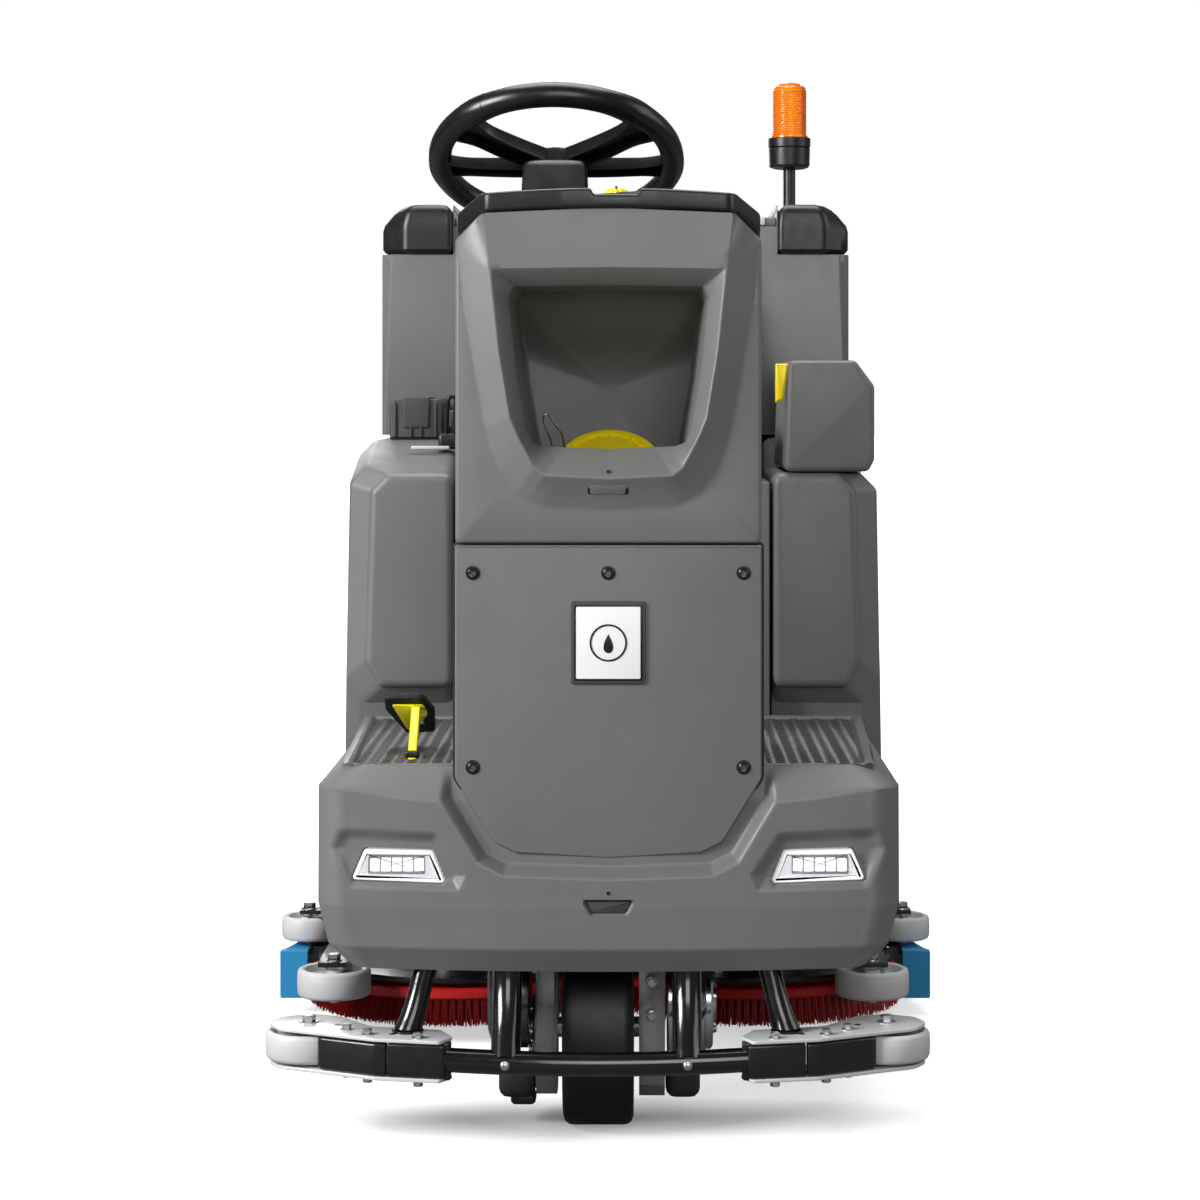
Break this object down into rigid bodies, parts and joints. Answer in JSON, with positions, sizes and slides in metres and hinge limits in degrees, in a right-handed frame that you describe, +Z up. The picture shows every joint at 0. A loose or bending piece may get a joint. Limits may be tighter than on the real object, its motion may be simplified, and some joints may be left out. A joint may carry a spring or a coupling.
{
  "type": "ride-on floor scrubber",
  "caption": "Ride-on floor scrubber with a steering column, step decks, water tanks, twin disc brushes, side lips, squeegee, roller bumper and beacon.",
  "frame": {"origin": "on the ground under the middle of the machine, on the centre plane of the chassis", "axes": "+Z up, the front of the machine faces -Y, the driver's left hand is at +X"},
  "size_m": [1.052, 1.91, 1.552],
  "materials": {
    "body_plastic": "fine moulded grain",
    "dark_plastic": "moulded",
    "black_plastic": "coarse moulded grain",
    "soft_black": "satin soft grip",
    "yellow_plastic": "smooth",
    "yellow_steel": "gloss paint",
    "red_plastic": "smooth",
    "clear_lens": "clear moulded",
    "amber_lens": "ribbed translucent",
    "seat_vinyl": "stitched vinyl",
    "black_steel": "powder coat",
    "bright_steel": "zinc plated",
    "roller_plastic": "non-marking",
    "tyre_rubber": "smooth tread",
    "rubber": "matt",
    "red_bristle": "tufted",
    "blue_rubber": "smooth"
  },
  "bodies": {
    "root": {"front_skirt": "body_plastic", "service_panel": "body_plastic", "panel_screws": "black_steel", "badge": "dark_plastic", "column_shell": "body_plastic", "column_cap": "black_plastic", "console_panel": "black_plastic", "steering_shroud": "black_plastic", "headlight_right": "clear_lens", "headlight_left": "clear_lens", "side_tank_right": "body_plastic", "side_tank_left": "body_plastic", "seat_base": "body_plastic", "battery_block": "dark_plastic", "recovery_tank": "body_plastic", "tank_cap_right": "black_plastic", "tank_cap_left": "black_plastic", "side_box_left": "body_plastic", "side_console_right": "dark_plastic", "beacon_mast": "black_plastic", "beacon_lens": "amber_lens", "chassis_frame": "black_steel", "bumper_arm_right": "black_steel", "bumper_arm_left": "black_steel", "bumper_bracket_right": "bright_steel", "bumper_bracket_left": "bright_steel", "bumper_tube": "black_steel", "suction_hose": "rubber", "suction_motor": "dark_plastic"},
    "steering_wheel": {"steering_wheel": "soft_black"},
    "steer_unit": {"steer_fork": "black_steel", "drive_motor": "bright_steel"},
    "front_wheel": {"front_wheel": "tyre_rubber"},
    "rear_wheel_right": {"rear_wheel_right": "tyre_rubber"},
    "rear_wheel_left": {"rear_wheel_left": "tyre_rubber"},
    "brush_deck": {"brush_deck": "black_steel", "side_lip_right": "blue_rubber", "side_lip_left": "blue_rubber"},
    "squeegee": {"squeegee_frame": "black_steel", "squeegee_blade": "rubber"},
    "seat": {"seat_cushion": "seat_vinyl", "seat_back": "seat_vinyl"},
    "tank_lid": {"tank_lid": "body_plastic"},
    "fill_lid": {"fill_lid": "yellow_plastic"},
    "fill_bail": {"fill_bail": "bright_steel"},
    "selector_knob": {"selector_knob": "yellow_plastic"},
    "emergency_stop": {"emergency_stop": "red_plastic"},
    "accelerator": {"accelerator_arm": "yellow_steel", "accelerator_pad": "rubber"},
    "brush_right": {"brush_right": "red_bristle"},
    "brush_left": {"brush_left": "red_bristle"},
    "deck_roller_right": {"deck_roller_right": "roller_plastic"},
    "deck_roller_left": {"deck_roller_left": "roller_plastic"},
    "side_roller_right": {"side_roller_right": "roller_plastic"},
    "side_roller_left": {"side_roller_left": "roller_plastic"},
    "bumper_roller_right": {"bumper_roller_right": "roller_plastic"},
    "bumper_roller_left": {"bumper_roller_left": "roller_plastic"},
    "squeegee_wheel_right": {"squeegee_wheel_right": "roller_plastic"},
    "squeegee_wheel_left": {"squeegee_wheel_left": "roller_plastic"}
  },
  "joints": [
    {"name": "steer", "type": "hinge", "parent": "root", "child": "steer_unit", "pos_m": [0, -0.725, 0.3], "axis": [0, 0, 1], "range_deg": [-75, 75]},
    {"name": "steering_wheel_turn", "type": "hinge", "parent": "root", "child": "steering_wheel", "pos_m": [-0.064, -0.525, 1.331], "axis": [0, 0.4695, 0.8829], "range_deg": [-300, 300]},
    {"name": "front_wheel_spin", "type": "hinge", "parent": "steer_unit", "child": "front_wheel", "pos_m": [0, -0.725, 0.13], "axis": [1, 0, 0], "continuous": true},
    {"name": "brush_deck_lift", "type": "slide", "parent": "root", "child": "brush_deck", "axis": [0, 0, 1], "range_m": [-0.026, 0]},
    {"name": "squeegee_lift", "type": "hinge", "parent": "root", "child": "squeegee", "pos_m": [0, 0.56, 0.235], "axis": [1, 0, 0], "range_deg": [-8, 0]},
    {"name": "seat_slide", "type": "slide", "parent": "root", "child": "seat", "axis": [0, 1, 0], "range_m": [-0.03, 0.045]},
    {"name": "tank_lid_hinge", "type": "hinge", "parent": "root", "child": "tank_lid", "pos_m": [0.015, 0.889, 1.285], "axis": [1, 0, 0], "range_deg": [-75, 0]},
    {"name": "fill_lid_hinge", "type": "hinge", "parent": "root", "child": "fill_lid", "pos_m": [0.015, -0.731, 0.94], "axis": [1, 0, 0], "range_deg": [-60, 0]},
    {"name": "fill_bail_hinge", "type": "hinge", "parent": "fill_lid", "child": "fill_bail", "pos_m": [-0.045, -0.821, 0.903], "axis": [1, 0, 0], "range_deg": [0, 30]},
    {"name": "selector_turn", "type": "hinge", "parent": "root", "child": "selector_knob", "pos_m": [0.025, -0.85, 1.25], "axis": [0, 0, 1], "range_deg": [-60, 60]},
    {"name": "emergency_stop_press", "type": "slide", "parent": "root", "child": "emergency_stop", "axis": [0, 0, 1], "range_m": [-0.006, 0]},
    {"name": "accelerator_press", "type": "hinge", "parent": "root", "child": "accelerator", "pos_m": [-0.251, -0.781, 0.509], "axis": [1, 0, 0], "range_deg": [-5, 0], "stiffness_Nm_per_rad": 20, "springref_deg": 6.88},
    {"name": "rear_wheel_right_spin", "type": "hinge", "parent": "root", "child": "rear_wheel_right", "pos_m": [-0.325, 0.43, 0.15], "axis": [1, 0, 0], "continuous": true},
    {"name": "brush_right_spin", "type": "hinge", "parent": "brush_deck", "child": "brush_right", "pos_m": [-0.236, -0.025, 0.06], "axis": [0, 0, 1], "continuous": true},
    {"name": "deck_roller_right_spin", "type": "hinge", "parent": "brush_deck", "child": "deck_roller_right", "pos_m": [-0.408, -0.272, 0.103], "axis": [0, 0, 1], "continuous": true},
    {"name": "side_roller_right_spin", "type": "hinge", "parent": "brush_deck", "child": "side_roller_right", "pos_m": [-0.481, 0.05, 0.129], "axis": [0, 0, 1], "continuous": true},
    {"name": "bumper_roller_right_spin", "type": "hinge", "parent": "root", "child": "bumper_roller_right", "pos_m": [-0.385, -0.825, 0.13], "axis": [0, 0, 1], "continuous": true},
    {"name": "squeegee_wheel_right_spin", "type": "hinge", "parent": "squeegee", "child": "squeegee_wheel_right", "pos_m": [-0.25, 0.885, 0.087], "axis": [1, 0, 0], "continuous": true},
    {"name": "rear_wheel_left_spin", "type": "hinge", "parent": "root", "child": "rear_wheel_left", "pos_m": [0.325, 0.43, 0.15], "axis": [1, 0, 0], "continuous": true},
    {"name": "brush_left_spin", "type": "hinge", "parent": "brush_deck", "child": "brush_left", "pos_m": [0.236, -0.025, 0.06], "axis": [0, 0, 1], "continuous": true},
    {"name": "deck_roller_left_spin", "type": "hinge", "parent": "brush_deck", "child": "deck_roller_left", "pos_m": [0.408, -0.272, 0.103], "axis": [0, 0, 1], "continuous": true},
    {"name": "side_roller_left_spin", "type": "hinge", "parent": "brush_deck", "child": "side_roller_left", "pos_m": [0.481, 0.05, 0.129], "axis": [0, 0, 1], "continuous": true},
    {"name": "bumper_roller_left_spin", "type": "hinge", "parent": "root", "child": "bumper_roller_left", "pos_m": [0.385, -0.825, 0.13], "axis": [0, 0, 1], "continuous": true},
    {"name": "squeegee_wheel_left_spin", "type": "hinge", "parent": "squeegee", "child": "squeegee_wheel_left", "pos_m": [0.25, 0.885, 0.087], "axis": [1, 0, 0], "continuous": true}
  ],
  "couplings": [
    {"joint": "steering_wheel_turn", "follows": "steer", "ratio": 4}
  ]
}
